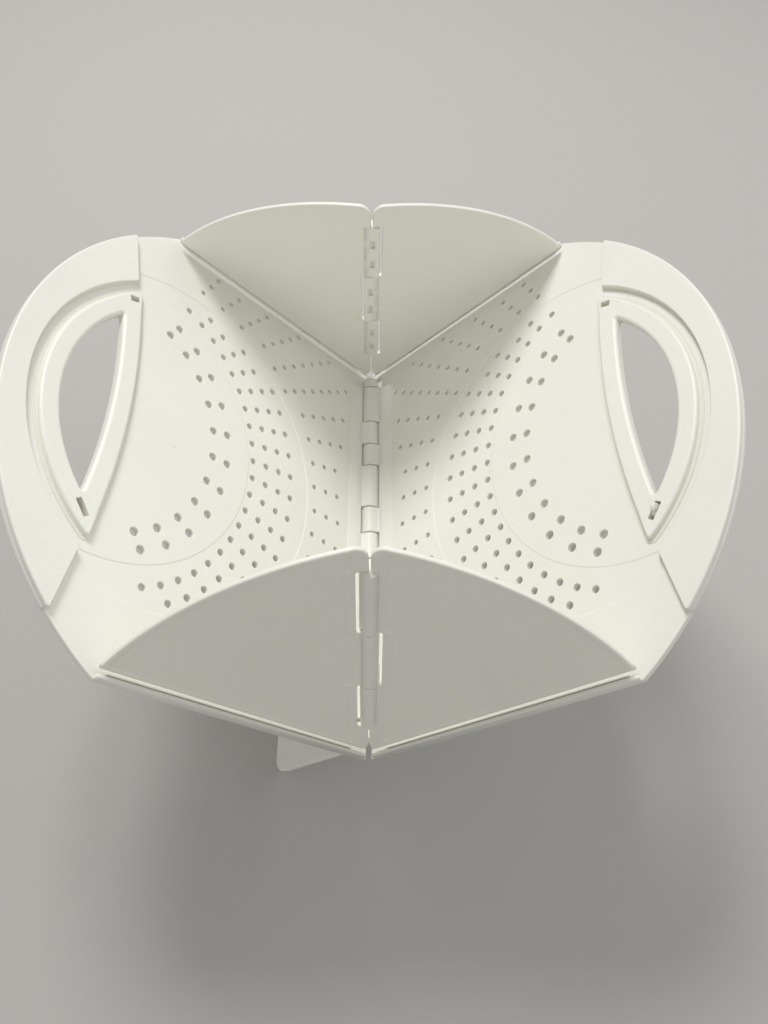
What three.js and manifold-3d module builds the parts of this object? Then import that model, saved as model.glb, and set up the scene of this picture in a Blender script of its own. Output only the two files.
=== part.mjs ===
// Folding strainer basket: two perforated side shells that share one keel hinge, closed at each end
// by a pair of gusset panels. Each shell runs on past the keel as a foot, so the pair stands as an X.
// Millimetres, +X to the right, +Y to the rear, +Z up. The origin is on the floor under the keel's middle.
import * as THREE from 'three';
import * as BufferGeometryUtils from 'three/addons/utils/BufferGeometryUtils.js';
import Module from 'manifold-3d';

const wasm = await Module();
wasm.setup();

// ---- driving dimensions --------------------------------------------------------------------------

const KEEL = 250; // distance between the two points where shells and gussets meet
const OPEN_ANGLE = THREE.MathUtils.degToRad(46); // shell slope above the floor when open
const GUSSET_SECTOR = THREE.MathUtils.degToRad(45); // angle between a gusset's shell edge and its crease
const AXIS_HEIGHT = 59; // keel axis above the floor
const GAP = 0.3; // clearance between pieces that nearly touch
const PAST = 1; // how far cutters run past a face, and joined solids run into each other

const HALF_KEEL = KEEL / 2;
const COT_OPEN = 1 / Math.tan(OPEN_ANGLE);
const GUSSET_TURN = Math.asin(COT_OPEN); // gusset away from its shell when open, from the four-crease fold

// Levels above the folding plane, which holds the keel axis and the gusset's shell edge.
// Everything of a shell lies below that plane, so that the two shells close face to face.
const TOP = -GAP;
const GUSSET_TOP = -0.25;
const GUSSET_THICKNESS = 2.4;
const FLOOR_TOP = -3.2; // inner face of the shell, which leaves room for a folded gusset
const FLOOR_BOTTOM = -6.2; // outer face of the shell

// Shell outline, across the keel (v) and along it (u).
const LIP_OUTER = 127.8;
const LIP_INNER = 126;
const OUTER_ARC = { v: 62.5, r: 155 };
const LIP_ARC_RADIUS = 153.2;
const ARC_STEPS = 28;
const SIDE_ARC_STEPS = 5;
const BAR_STEPS = 8;
const DISC_SIDES = 96;

// Keel leaf, barrels and pin.
const BARREL_RADIUS = 6;
const BARREL_SIDES = 16;
const PIN = { radius: 2, sides: 12, inset: 0.5 };
const BORE_RADIUS = 2.35;
const LEAF_START = BARREL_RADIUS + 0.8;
const LEAF_END = 15;
const RAMP_END = -2.8; // the leaf's top falls from TOP at the barrels to this level at LEAF_END
const LEAF_HALF_LENGTH = 109;
const FINGER_GAP = 0.35;
const FINGERS = [[-109.65, -81.25], [-63.75, -47.5], [-17.5, 0], [17.5, 47.5], [63.75, 81.25]];
const FOOT_FINGERS = FINGERS.slice(3);
const END_CAP = { from: 110.2, to: 119.5, tip: 3.8 };
const CAP_CLEARANCE = 0.8;
const EAR_START = -2;
const LIP_START = 1.5;
const FOOT = { from: 2, to: 120, start: -7.3, corner: 7.5, cornerSteps: 5, past: 0.4 };
const PANEL_START = LEAF_END + GAP;

// Handle: base plate, raised rim, raised grip ring round the finger opening, and latch slots.
const RIM_END_U = 108.5;
const RIM_END = { u: RIM_END_U, v: OUTER_ARC.v + Math.sqrt(OUTER_ARC.r ** 2 - RIM_END_U ** 2) };
const LIP_END_U = RIM_END.u + 1.5;
const RIM_INNER_END = { u: 77.5, v: 168 };
const BAR_HALF_LENGTH = 72;
const RIM_INNER_ARC = { v: 108.9, r: 97.5 };
const RING_ARC = { v: 111.25, r: 89.5 };
const BAR_ARC = { v: 525, r: 366.9 };
const OPENING_ARC = { v: 112.25, r: 79.25 };
const OPENING_BAR_ARC = { v: 490, r: 322.4 };
const SLOT = { u: 59.5, v: 170.4, length: 8.5, width: 2.8, turn: THREE.MathUtils.degToRad(37) };
const HOOK = { length: 4.3, width: 2, below: -6, above: 2.2 };

// Perforations: fans of holes about a point in the handle, one fan every FAN_STEP to both sides.
const FAN_CENTRE_V = 180;
const FAN_STEP = THREE.MathUtils.degToRad(6.35);
const LAST_FAN = 10;
const HOLE_SIDES = 6;
// Towards the last fan a row of the larger holes closes up (squeeze) and pulls in to the centre (pull).
const LARGE_HOLES = { radius: 2.15, rings: [70.25, 79], everyFan: 2, squeeze: 0.076, pull: 0.021 };
const MEDIUM_HOLES = {
  radius: 1.8,
  rings: [95.75, 104.5, 113.25, 121.75],
  squeeze: 0.024,
  pull: 0.021,
  counts: [4, 4, 4, 4, 4, 4, 3, 3, 2, 2, 1],
};
const SMALL_HOLES = {
  radius: 1.5,
  starts: [139.5, 139.25, 140, 140, 140.25, 132.4, 131.4, 131.9, 122.75, 118, 113.25],
  counts: [3, 3, 3, 4, 5, 8, 7, 5, 4, 3, 3],
  step: 8.9,
  closeFan: 5,
  closeStep: 8.1,
};

// Gussets and the crease hinge between two of them.
const GUSSET = {
  edge: 150,
  crease: 156,
  edgeGap: 0.3,
  creaseGap: 0.5,
  apex: 4.5,
  apexAtCrease: 6.5,
  steps: 14,
  corner: 6,
  cornerAngles: [70, 50, 30, 10],
};
const CREASE = {
  barrel: 2.9,
  bore: 1.25,
  pin: 0.9,
  pinInset: 1,
  tab: 4.4,
  tabRoot: 2,
  notch: 5.4,
  sides: 12,
  clearance: 0.25,
};
const CREASE_SPANS = [[27.5, 63], [63.7, 103.2], [103.9, 142]];
const WEB = { inner: 125.3, outer: 125.7, from: 12, to: 146, bottom: FLOOR_TOP + GAP };

// ---- materials -----------------------------------------------------------------------------------

const plastic = (color, roughness) => new THREE.MeshStandardMaterial({ color, roughness, metalness: 0 });
const shellPlastic = () => plastic(0xe9e8dc, 0.45);
const handlePlastic = () => plastic(0xebeadf, 0.42);
const gussetPlastic = () => plastic(0xdcdacb, 0.5);
const webPlastic = () => plastic(0xe4e2d2, 0.4);
const pinSteel = () => new THREE.MeshStandardMaterial({ color: 0xb9bcc0, roughness: 0.35, metalness: 1 });

// ---- solids --------------------------------------------------------------------------------------

function toSolid(geometry) {
  const bare = geometry.clone();
  bare.deleteAttribute('normal');
  bare.deleteAttribute('uv');
  const merged = BufferGeometryUtils.mergeVertices(bare, 1e-4);
  return new wasm.Manifold(new wasm.Mesh({
    numProp: 3,
    vertProperties: Float32Array.from(merged.attributes.position.array),
    triVerts: Uint32Array.from(merged.index.array),
  }));
}

function toMesh(name, solid, material) {
  const raw = solid.getMesh();
  const geometry = new THREE.BufferGeometry();
  geometry.setAttribute('position', new THREE.BufferAttribute(raw.vertProperties, 3));
  geometry.setIndex(new THREE.BufferAttribute(raw.triVerts, 1));
  geometry.computeVertexNormals();
  const mesh = new THREE.Mesh(geometry, material);
  mesh.name = name;
  return mesh;
}

function extrude(shape, low, high, curveSegments = ARC_STEPS) {
  const settings = { depth: high - low, bevelEnabled: false, curveSegments };
  return new THREE.ExtrudeGeometry(shape, settings).translate(0, 0, low);
}

// A closed outline in the shell's own (u, v) plane, raised between two levels.
const plate = (shape, low, high) => toSolid(extrude(shape, low, high));

// A section in the (v, w) plane, run along u.
const ALONG_U = new THREE.Matrix4().makeBasis(
  new THREE.Vector3(0, 1, 0),
  new THREE.Vector3(0, 0, 1),
  new THREE.Vector3(1, 0, 0),
);
const rail = (shape, from, to) => toSolid(extrude(shape, from, to).applyMatrix4(ALONG_U));

const polygon = (points) => new THREE.Shape(points.map(([x, y]) => new THREE.Vector2(x, y)));
const box = (x0, x1, y0, y1) => polygon([[x0, y0], [x1, y0], [x1, y1], [x0, y1]]);

function disc(x, y, radius, sides) {
  const shape = new THREE.Shape();
  for (let i = 0; i < sides; i += 1) {
    const angle = (2 * Math.PI * (i + 0.5)) / sides;
    const [px, py] = [x + radius * Math.cos(angle), y + radius * Math.sin(angle)];
    if (i === 0) shape.moveTo(px, py);
    else shape.lineTo(px, py);
  }
  return shape;
}

// Points on an arc centred on the line u = 0, from u = from to u = to; up is 1 for the far side.
function arcPoints(arc, from, to, up, steps) {
  const start = Math.asin(from / arc.r);
  const end = Math.asin(to / arc.r);
  return Array.from({ length: steps + 1 }, (_, i) => {
    const angle = start + ((end - start) * i) / steps;
    return [arc.r * Math.sin(angle), arc.v + up * arc.r * Math.cos(angle)];
  });
}

// ---- strainer panel ------------------------------------------------------------------------------

function fanHoles() {
  const holes = [];
  const addRow = (fan, rings, { radius, squeeze = 0, pull = 0 }) => {
    const sides = fan === 0 ? [1] : [-1, 1];
    const outward = fan / LAST_FAN;
    for (const side of sides) {
      for (const ring of rings) {
        const angle = side * fan * FAN_STEP * (1 - squeeze * outward ** 2);
        const r = ring * (1 - pull * outward ** 6);
        holes.push({ u: r * Math.sin(angle), v: FAN_CENTRE_V - r * Math.cos(angle), radius });
      }
    }
  };
  for (let fan = 0; fan < SMALL_HOLES.counts.length; fan += 1) {
    if (fan % LARGE_HOLES.everyFan === 0) addRow(fan, LARGE_HOLES.rings, LARGE_HOLES);
    addRow(fan, MEDIUM_HOLES.rings.slice(0, MEDIUM_HOLES.counts[fan]), MEDIUM_HOLES);
    const step = fan === SMALL_HOLES.closeFan ? SMALL_HOLES.closeStep : SMALL_HOLES.step;
    const nth = (_, i) => SMALL_HOLES.starts[fan] + i * step;
    addRow(fan, Array.from({ length: SMALL_HOLES.counts[fan] }, nth), SMALL_HOLES);
  }
  return holes;
}

// The seam where the strainer panel ends and the handle begins, from u = -RIM_END.u to +RIM_END.u.
function seam(shift) {
  const lower = (point) => [point.u, point.v + shift];
  const mirrored = (point) => [-point.u, point.v + shift];
  const barArc = { v: BAR_ARC.v + shift, r: BAR_ARC.r };
  const bar = arcPoints(barArc, -BAR_HALF_LENGTH, BAR_HALF_LENGTH, -1, BAR_STEPS);
  return [mirrored(RIM_END), mirrored(RIM_INNER_END), ...bar, lower(RIM_INNER_END), lower(RIM_END)];
}

function strainerPanel() {
  const cornerV = OUTER_ARC.v + Math.sqrt(OUTER_ARC.r ** 2 - LIP_OUTER ** 2);
  const sideArc = arcPoints(OUTER_ARC, LIP_OUTER, RIM_END.u, 1, SIDE_ARC_STEPS);
  const far = seam(-GAP).reverse();
  const outline = polygon([
    [-LIP_OUTER, PANEL_START], [LIP_OUTER, PANEL_START], [LIP_OUTER, cornerV],
    ...sideArc.slice(1, -1), ...far, ...sideArc.slice(1, -1).reverse().map(([u, v]) => [-u, v]),
    [-LIP_OUTER, cornerV],
  ]);
  for (const hole of fanHoles()) outline.holes.push(disc(hole.u, hole.v, hole.radius, HOLE_SIDES));
  let solid = plate(outline, FLOOR_BOTTOM, FLOOR_TOP);
  for (const side of [-1, 1]) {
    const lipArc = { v: OUTER_ARC.v, r: LIP_ARC_RADIUS };
    const outer = arcPoints(OUTER_ARC, LIP_OUTER, LIP_END_U, 1, SIDE_ARC_STEPS);
    const inner = arcPoints(lipArc, LIP_END_U, LIP_INNER, 1, SIDE_ARC_STEPS);
    const ring = [[LIP_INNER, PANEL_START], [LIP_OUTER, PANEL_START], ...outer, ...inner];
    const points = side > 0 ? ring : ring.map(([u, v]) => [-u, v]).reverse();
    solid = solid.add(plate(polygon(points), FLOOR_BOTTOM + PAST, TOP));
  }
  return solid;
}

// ---- keel leaf and foot --------------------------------------------------------------------------

function hingeLeaf() {
  const ramp = polygon([
    [LEAF_START, FLOOR_BOTTOM], [LEAF_END, FLOOR_BOTTOM], [LEAF_END, RAMP_END], [LEAF_START, TOP],
  ]);
  let solid = rail(ramp, -LEAF_HALF_LENGTH, LEAF_HALF_LENGTH);
  for (const [from, to] of FINGERS) {
    const [start, end] = [from + FINGER_GAP, to - FINGER_GAP];
    const root = rail(box(0, LEAF_START, FLOOR_BOTTOM, TOP), start, end);
    const barrel = rail(disc(0, 0, BARREL_RADIUS, BARREL_SIDES), start, end);
    const bore = rail(disc(0, 0, BORE_RADIUS, BARREL_SIDES), start - PAST, end + PAST);
    solid = solid.add(root).add(barrel);
    if (FOOT_FINGERS.some(([edge]) => edge === from)) {
      solid = solid.add(rail(box(FOOT.start + GAP, 0, FLOOR_BOTTOM, FLOOR_TOP), start, end));
    }
    solid = solid.subtract(bore);
  }
  for (const side of [-1, 1]) solid = solid.add(leafEar(side));
  return solid.add(endCap());
}

// Beyond the barrels the leaf thins to let the gussets' tips pass, and carries the first of the lip.
function leafEar(side) {
  const across = (low, high) => (side > 0 ? [low, high] : [-high, -low]);
  const [inner, outer] = across(LEAF_HALF_LENGTH - PAST, LIP_OUTER);
  const [lipInner, lipOuter] = across(LIP_INNER, LIP_OUTER);
  const ear = rail(box(EAR_START, LEAF_END, FLOOR_BOTTOM, FLOOR_TOP), inner, outer);
  const lip = rail(box(LIP_START, LEAF_END, FLOOR_BOTTOM, TOP), lipInner, lipOuter);
  const roomEnd = side > 0 ? END_CAP.from : END_CAP.to + CAP_CLEARANCE;
  const roomSection = box(EAR_START - PAST, LEAF_START, FLOOR_BOTTOM - PAST, 0);
  const barrelRoom = rail(roomSection, ...across(LEAF_HALF_LENGTH - 2 * PAST, roomEnd));
  return ear.subtract(barrelRoom).add(lip);
}

// The last barrel at one end is a solid cap that tapers towards the gussets.
function endCap() {
  const length = END_CAP.to - END_CAP.from;
  const cone = new THREE.CylinderGeometry(END_CAP.tip, BARREL_RADIUS, length, BARREL_SIDES);
  cone.rotateX(Math.PI / 2).translate(0, 0, (END_CAP.from + END_CAP.to) / 2);
  return toSolid(cone.applyMatrix4(ALONG_U));
}

// The foot is cut level with the floor when the basket stands open.
function foot() {
  const soleAt = (w) => (-AXIS_HEIGHT - w * Math.cos(OPEN_ANGLE)) / Math.sin(OPEN_ANGLE);
  const section = polygon([
    [soleAt(FLOOR_BOTTOM), FLOOR_BOTTOM], [FOOT.start, FLOOR_BOTTOM],
    [FOOT.start, FLOOR_TOP], [soleAt(FLOOR_TOP), FLOOR_TOP],
  ]);
  const outline = new THREE.Shape();
  const cornerV = soleAt(FLOOR_TOP) - FOOT.past + FOOT.corner;
  outline.moveTo(FOOT.from, FOOT.start + PAST);
  outline.lineTo(FOOT.from, cornerV);
  outline.absarc(FOOT.from + FOOT.corner, cornerV, FOOT.corner, Math.PI, 1.5 * Math.PI, false);
  outline.absarc(FOOT.to - FOOT.corner, cornerV, FOOT.corner, 1.5 * Math.PI, 2 * Math.PI, false);
  outline.lineTo(FOOT.to, FOOT.start + PAST);
  outline.closePath();
  const blank = toSolid(extrude(outline, FLOOR_BOTTOM - PAST, FLOOR_TOP + PAST, FOOT.cornerSteps));
  return rail(section, FOOT.from - PAST, FOOT.to + PAST).intersect(blank);
}

// ---- handle --------------------------------------------------------------------------------------

const fullDisc = (arc, low, high) => plate(disc(0, arc.v, arc.r, DISC_SIDES), low, high);

function slotShape(u, v, turn, length, width) {
  const [c, s] = [Math.cos(turn), Math.sin(turn)];
  const corners = [[-length, -width], [length, -width], [length, width], [-length, width]];
  return polygon(corners.map(([x, y]) => [u + (x * c - y * s) / 2, v + (x * s + y * c) / 2]));
}

function handle() {
  const outer = arcPoints(OUTER_ARC, RIM_END.u, -RIM_END.u, 1, 2 * ARC_STEPS).slice(1, -1);
  const base = plate(polygon([...seam(0), ...outer]), FLOOR_BOTTOM, FLOOR_TOP);
  const rimOutline = polygon([
    [-RIM_END.u, RIM_END.v], [-RIM_INNER_END.u, RIM_INNER_END.v],
    [RIM_INNER_END.u, RIM_INNER_END.v], [RIM_END.u, RIM_END.v], ...outer,
  ]);
  const rimHollow = fullDisc(RIM_INNER_ARC, FLOOR_TOP, TOP + PAST);
  const rim = plate(rimOutline, FLOOR_TOP - PAST, TOP).subtract(rimHollow);
  const crescent = (arc, bar, low, high) => fullDisc(arc, low, high).intersect(fullDisc(bar, low, high));
  const ring = crescent(RING_ARC, BAR_ARC, FLOOR_TOP - PAST, TOP);
  const opening = crescent(OPENING_ARC, OPENING_BAR_ARC, FLOOR_BOTTOM - PAST, TOP + PAST);
  let solid = base.add(rim).add(ring).subtract(opening);
  for (const side of [-1, 1]) {
    const slot = slotShape(side * SLOT.u, SLOT.v, -side * SLOT.turn, SLOT.length, SLOT.width);
    solid = solid.subtract(plate(slot, FLOOR_BOTTOM - PAST, TOP + PAST));
  }
  return solid;
}

// The latch hook stands in the slot at the handle's u > 0 end.
function latchHook() {
  const section = slotShape(SLOT.u, SLOT.v, -SLOT.turn, HOOK.length, HOOK.width);
  return plate(section, HOOK.below, HOOK.above);
}

// ---- gussets -------------------------------------------------------------------------------------

// A gusset lies flat here, as when folded: a runs inward from its shell edge and b along that edge.
// side is -1 for the gusset at the shell's u = -HALF_KEEL end and +1 for the other end.
const CREASE_DIRECTION = [Math.sin(GUSSET_SECTOR), Math.cos(GUSSET_SECTOR)];

function alongCrease(s, t) {
  const [x, y] = CREASE_DIRECTION;
  return [x * s - y * t, y * s + x * t];
}

function gussetShape(side, points) {
  const placed = points.map(([a, b]) => [-side * a, b]);
  return polygon(side < 0 ? placed : placed.reverse());
}

const gussetPlate = (side, points, low, high) => plate(gussetShape(side, points), low, high);

function gussetOutline() {
  const rimAt = (beta) => GUSSET.edge + ((GUSSET.crease - GUSSET.edge) * beta) / GUSSET_SECTOR;
  const firstBeta = Math.asin(GUSSET.edgeGap / GUSSET.edge);
  const cornerBeta = GUSSET_SECTOR - GUSSET.corner / GUSSET.crease;
  const rim = Array.from({ length: GUSSET.steps + 1 }, (_, i) => {
    const beta = firstBeta + ((cornerBeta - firstBeta) * i) / GUSSET.steps;
    return [rimAt(beta) * Math.sin(beta), rimAt(beta) * Math.cos(beta)];
  });
  const centre = [GUSSET.crease - GUSSET.corner, GUSSET.corner + GUSSET.creaseGap];
  const corner = GUSSET.cornerAngles.map((degrees) => {
    const angle = THREE.MathUtils.degToRad(degrees);
    const s = centre[0] + GUSSET.corner * Math.sin(angle);
    return alongCrease(s, centre[1] - GUSSET.corner * Math.cos(angle));
  });
  return [
    [GUSSET.edgeGap, GUSSET.apex], ...rim, ...corner,
    alongCrease(centre[0], GUSSET.creaseGap), alongCrease(GUSSET.apexAtCrease, GUSSET.creaseGap),
  ].reverse();
}

function creaseBox(s0, s1, t0, t1) {
  return [[s0, t1], [s1, t1], [s1, t0], [s0, t0]].map(([s, t]) => alongCrease(s, t));
}

// A round bar along the crease axis, between two distances from the gusset's apex.
function creaseRod(side, s0, s1, radius) {
  const geometry = extrude(disc(0, 0, radius, CREASE.sides), s0, s1);
  const along = new THREE.Vector3(-side * CREASE_DIRECTION[0], CREASE_DIRECTION[1], 0);
  const up = new THREE.Vector3(0, 0, 1);
  const across = new THREE.Vector3().crossVectors(up, along);
  return toSolid(geometry.applyMatrix4(new THREE.Matrix4().makeBasis(across, up, along)));
}

function gusset(side) {
  const own = CREASE_SPANS.filter((_, i) => (side > 0 ? i !== 1 : i === 1));
  const other = CREASE_SPANS.filter((_, i) => (side > 0 ? i === 1 : i !== 1));
  const bottom = GUSSET_TOP - GUSSET_THICKNESS;
  let solid = gussetPlate(side, gussetOutline(), bottom, GUSSET_TOP);
  for (const [s0, s1] of other) {
    const notch = creaseBox(s0 - CREASE.clearance, s1 + CREASE.clearance, -PAST, CREASE.notch);
    solid = solid.subtract(gussetPlate(side, notch, bottom - PAST, GUSSET_TOP + PAST));
  }
  for (const [s0, s1] of own) {
    const tab = gussetPlate(side, creaseBox(s0, s1, -CREASE.tab, CREASE.tabRoot), bottom, GUSSET_TOP);
    const bore = creaseRod(side, s0 - PAST, s1 + PAST, CREASE.bore);
    solid = solid.add(tab).add(creaseRod(side, s0, s1, CREASE.barrel)).subtract(bore);
  }
  return solid;
}

function creasePin(side) {
  const [first, , last] = CREASE_SPANS;
  return creaseRod(side, first[0] + CREASE.pinInset, last[1] - CREASE.pinInset, CREASE.pin);
}

function hingeWeb(side) {
  const [low, high] = side > 0 ? [WEB.inner, WEB.outer] : [-WEB.outer, -WEB.inner];
  return plate(box(low, high, WEB.from, WEB.to), WEB.bottom, TOP);
}

// ---- assembly ------------------------------------------------------------------------------------

// Places a gusset's own frame at its end of the keel, swung up from its shell.
function gussetFrame(side) {
  const frame = new THREE.Group();
  frame.position.set(side * HALF_KEEL, 0, 0);
  frame.rotation.y = side * GUSSET_TURN;
  return frame;
}

// One whole side in the shell's frame: u along the keel, v away from it, w towards the other side.
function buildSide(name, ends) {
  const shell = new THREE.Group();
  shell.add(toMesh(`${name}_strainer_panel`, strainerPanel(), shellPlastic()));
  shell.add(toMesh(`${name}_hinge_leaf`, hingeLeaf(), shellPlastic()));
  shell.add(toMesh(`${name}_foot`, foot(), shellPlastic()));
  shell.add(toMesh(`${name}_handle`, handle(), handlePlastic()));
  for (const side of [-1, 1]) {
    const end = ends[side < 0 ? 0 : 1];
    const frame = gussetFrame(side);
    frame.add(toMesh(`${end}_${name}_gusset`, gusset(side), gussetPlastic()));
    if (side > 0) frame.add(toMesh(`${end}_crease_pin`, creasePin(side), pinSteel()));
    shell.add(frame);
    shell.add(toMesh(`${end}_${name}_hinge_web`, hingeWeb(side), webPlastic()));
  }
  const sideways = new THREE.Vector3(-Math.cos(OPEN_ANGLE), 0, Math.sin(OPEN_ANGLE));
  const inward = new THREE.Vector3(Math.sin(OPEN_ANGLE), 0, Math.cos(OPEN_ANGLE));
  const basis = new THREE.Matrix4().makeBasis(new THREE.Vector3(0, 1, 0), sideways, inward);
  shell.quaternion.setFromRotationMatrix(basis);
  return shell;
}

const group = new THREE.Group();
const keel = new THREE.Group();
keel.position.z = AXIS_HEIGHT;
group.add(keel);

const leftSide = buildSide('left', ['front', 'rear']);
keel.add(leftSide);

const rightSide = new THREE.Group();
rightSide.rotation.z = Math.PI;
const rightShell = buildSide('right', ['rear', 'front']);
rightShell.add(toMesh('latch_hook', latchHook(), handlePlastic()));
rightSide.add(rightShell);
keel.add(rightSide);

const pinLength = 2 * (LEAF_HALF_LENGTH - PIN.inset);
const pin = new THREE.CylinderGeometry(PIN.radius, PIN.radius, pinLength, PIN.sides);
const keelPin = new THREE.Mesh(pin, pinSteel());
keelPin.name = 'keel_pin';
keel.add(keelPin);

export default group;
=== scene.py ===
"""Visual model of the folding strainer basket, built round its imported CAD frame.

Each side shell has its own axes: u along the keel, v away from it up the shell, w towards the other shell.
The plane w = 0 holds the keel axis. Lengths in those axes are in millimetres.
"""

import math

import bpy
import numpy as np
from mathutils import Matrix, Vector
from mathutils.geometry import delaunay_2d_cdt


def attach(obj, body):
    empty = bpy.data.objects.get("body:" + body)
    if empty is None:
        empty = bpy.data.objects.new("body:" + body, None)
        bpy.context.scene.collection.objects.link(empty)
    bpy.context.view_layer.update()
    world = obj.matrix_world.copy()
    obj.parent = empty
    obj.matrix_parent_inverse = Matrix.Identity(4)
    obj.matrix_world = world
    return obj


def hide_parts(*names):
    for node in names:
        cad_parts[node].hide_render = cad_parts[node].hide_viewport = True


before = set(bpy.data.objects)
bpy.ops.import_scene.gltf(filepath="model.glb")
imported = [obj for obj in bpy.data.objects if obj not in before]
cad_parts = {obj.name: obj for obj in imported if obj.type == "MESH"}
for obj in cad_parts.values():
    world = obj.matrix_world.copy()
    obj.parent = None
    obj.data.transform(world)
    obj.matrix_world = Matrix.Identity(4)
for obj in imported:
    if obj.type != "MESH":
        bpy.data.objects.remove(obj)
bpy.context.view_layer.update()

MM = 0.001

# ---- dimensions, in millimetres ------------------------------------------------------------------

OPEN_ANGLE = math.radians(46)
AXIS_HEIGHT = 59
HALF_KEEL = 125
GUSSET_TURN = math.asin(1 / math.tan(OPEN_ANGLE))

# Levels across the thickness of a shell.
TOP = -0.3
FLOOR = -3.2
GROOVE = -3.5
BACK = -6.2
PLATE_BACK = -6.18  # the strainer plate's back, a hair inside the rim's and ring's

# Outline of a shell and of its raised rim and lips.
OUTER = (0, 62.5, 155)
LIP_OUTER = 127.8
LIP_INNER = 126
LIP_START = 1.5
LIP_END = 149.6
INSET = 0.05  # the plate's edge, inside the rim's and the lips' outer walls
RIM_CUT = {"inner": 77.5, "outer": 107.4}  # u of the two corners where each end of the rim is cut
RIM_INNER = (0, 108.9, 97.5)

# Grip ring, finger opening and latch slots.
RING = (0, 111.25, 89.5)
RING_TIP = 70.4
RING_TIP_RADIUS = 0.78
RING_SHARPENS = {"from": 58, "over": 9}  # the stretch of u along which the ring's outer edge turns sharper
RING_LEDGE = {"width": 1.9, "height": 0.35, "rounding": 0.15}
BAR = (0, 525, 366.9)
OPENING = (0, 112.25, 79.25)
OPENING_BAR = (0, 490, 322.4)
OPENING_TIP = 51.4
OPENING_TIP_RADIUS = 0.48
SLOTS = {
    "front": {"u": 59.5, "v": 170.4, "length": 8.5, "width": 2.8, "turn": math.radians(37)},
    "rear": {"u": 64.4, "v": 167.9, "length": 5.0, "width": 3.2, "turn": math.radians(72)},
}
SLOT_CORNER = 0.35
CUT_BACK = {"opening": 2.5, "slot": 0.5}  # how much wider the plate below the grip ring is cut
HOOK = {"width": 2, "base_width": 2.6, "below": -6, "above": 2.2, "shift": -1.5}

# Recessed band round the middle of the strainer plate, between two arcs.
BAND_OUTER = {"v": 133.5, "half_width": 92.5, "half_height": 87.2, "end": 83.5, "under_rim": 6}
BAND_INNER = {"v": 162.5, "half_width": 77, "half_height": 75, "end": 76.9, "under_rim": 3}

# Ejector pin marks, as (u, v, radius), and the rim's as (direction in degrees, radius).
PLATE_MARKS = (
    (-40, 132, 2.2), (36, 124, 2.2), (-96, 120, 3.2), (96, 120, 3.2), (-101, 60, 3.2), (101, 60, 3.2),
)
FOOT_MARKS = ((110, -67, 5), (82, -62, 5), (103, -46, 10))
RIM_MARKS = ((52, 3.0), (57, 4.2), (74, 3.0), (106, 3.0), (123, 4.2), (128, 3.0))

# Keel hinge.
BARREL = 5.75
BORE = 2.35
LEAF = {"start": 6.8, "end": 15.4, "half_length": 109, "top": -0.4, "foot": -2.95}
FINGERS = ((-109.65, -81.25), (-63.75, -47.5), (-17.5, 0), (17.5, 47.5), (63.75, 81.25))
FOOT_FINGERS = FINGERS[3:]
FINGER_GAP = 0.4
END_CAP = {"start": 110.2, "end": 119.5, "tip": 3.8, "rounding": 1.3}
EAR_START = -1.6
EAR_TOP = 12
EAR_INNER = 108
FOOT = {"start": 2, "end": 120, "top": -7.3, "corner": 7.5, "slant_from": 52, "slant_fade": 20}

# Perforations, in fans about a point in the handle.
FAN_CENTRE = 180
FAN_STEP = math.radians(6.35)
LAST_FAN = 10
# Towards the last fan a row of the larger holes closes up (squeeze) and pulls in to the centre (pull).
LARGE = {"radius": 2.15, "rings": (70.25, 79), "squeeze": 0.076, "pull": 0.021}
MEDIUM = {
    "radius": 1.8,
    "rings": (95.75, 104.5, 113.25, 121.75),
    "counts": (4, 4, 4, 4, 4, 4, 3, 3, 2, 2, 1),
    "squeeze": 0.024,
    "pull": 0.021,
}
SMALL = {
    "radius": 1.5,
    "starts": (139.5, 139.25, 140, 140, 140.25, 132.4, 131.4, 131.9, 122.75, 118, 113.25),
    "counts": (3, 3, 3, 4, 5, 8, 7, 5, 4, 3, 3),
    "step": 8.9,
    "squeeze": 0,
    "pull": 0,
}
CLOSE_FAN, CLOSE_STEP = 5, 8.1

# Gussets. A gusset lies in its shell's plane when folded; a runs inward from the shell edge and b along it.
SECTOR = math.radians(45)
GUSSET = {"edge": 150, "crease": 156, "gap": 0.3, "crease_gap": 0.2, "apex": 4.5, "corner": 6}
GUSSET_OUT = -0.25
GUSSET_IN = -2.65
KNUCKLE_IN = -2.78
BORDER = 2.6
BORDER_STEP = 0.6
CREASE_BORDER = 6.4
PAD = {"width": 4.2, "above": 1.6}
KNUCKLE = {"radius": 2.9, "tab": 4.4, "core": 1.8, "root": 3.6, "notch": 5.4, "clearance": 0.25}
KNUCKLE_CUTS = (0, 0.2, 0.36, 0.6, 0.76, 1)  # shares of a knuckle's length; every second slice has a window
CREASE_SPANS = ((27.5, 63), (63.7, 103.2), (103.9, 142))

# ---- plan curves ---------------------------------------------------------------------------------


def arc(circle, start, end, step=2.4):
    """Points on a circle (x, y, r) from one angle to another, in degrees."""
    x, y, r = circle
    count = max(2, math.ceil(abs(math.radians(end - start)) * r / step))
    angles = np.radians(np.linspace(start, end, count + 1))
    return [(x + r * math.cos(t), y + r * math.sin(t)) for t in angles]


def angle_at(circle, x, upper=True):
    """The angle in degrees of the point of a circle above or below x."""
    half = math.degrees(math.acos((x - circle[0]) / circle[2]))
    return half if upper else -half


def ring_of(x, y, r, count):
    """A full circle, clockwise, as a hole is."""
    angles = -2 * np.pi * np.arange(count) / count
    return np.column_stack([x + r * np.cos(angles), y + r * np.sin(angles)])


def area(path):
    """The area inside a closed path, negative if it runs clockwise."""
    x, y = np.asarray(path, float).T
    return 0.5 * float(np.sum(x * np.roll(y, -1) - y * np.roll(x, -1)))


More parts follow.
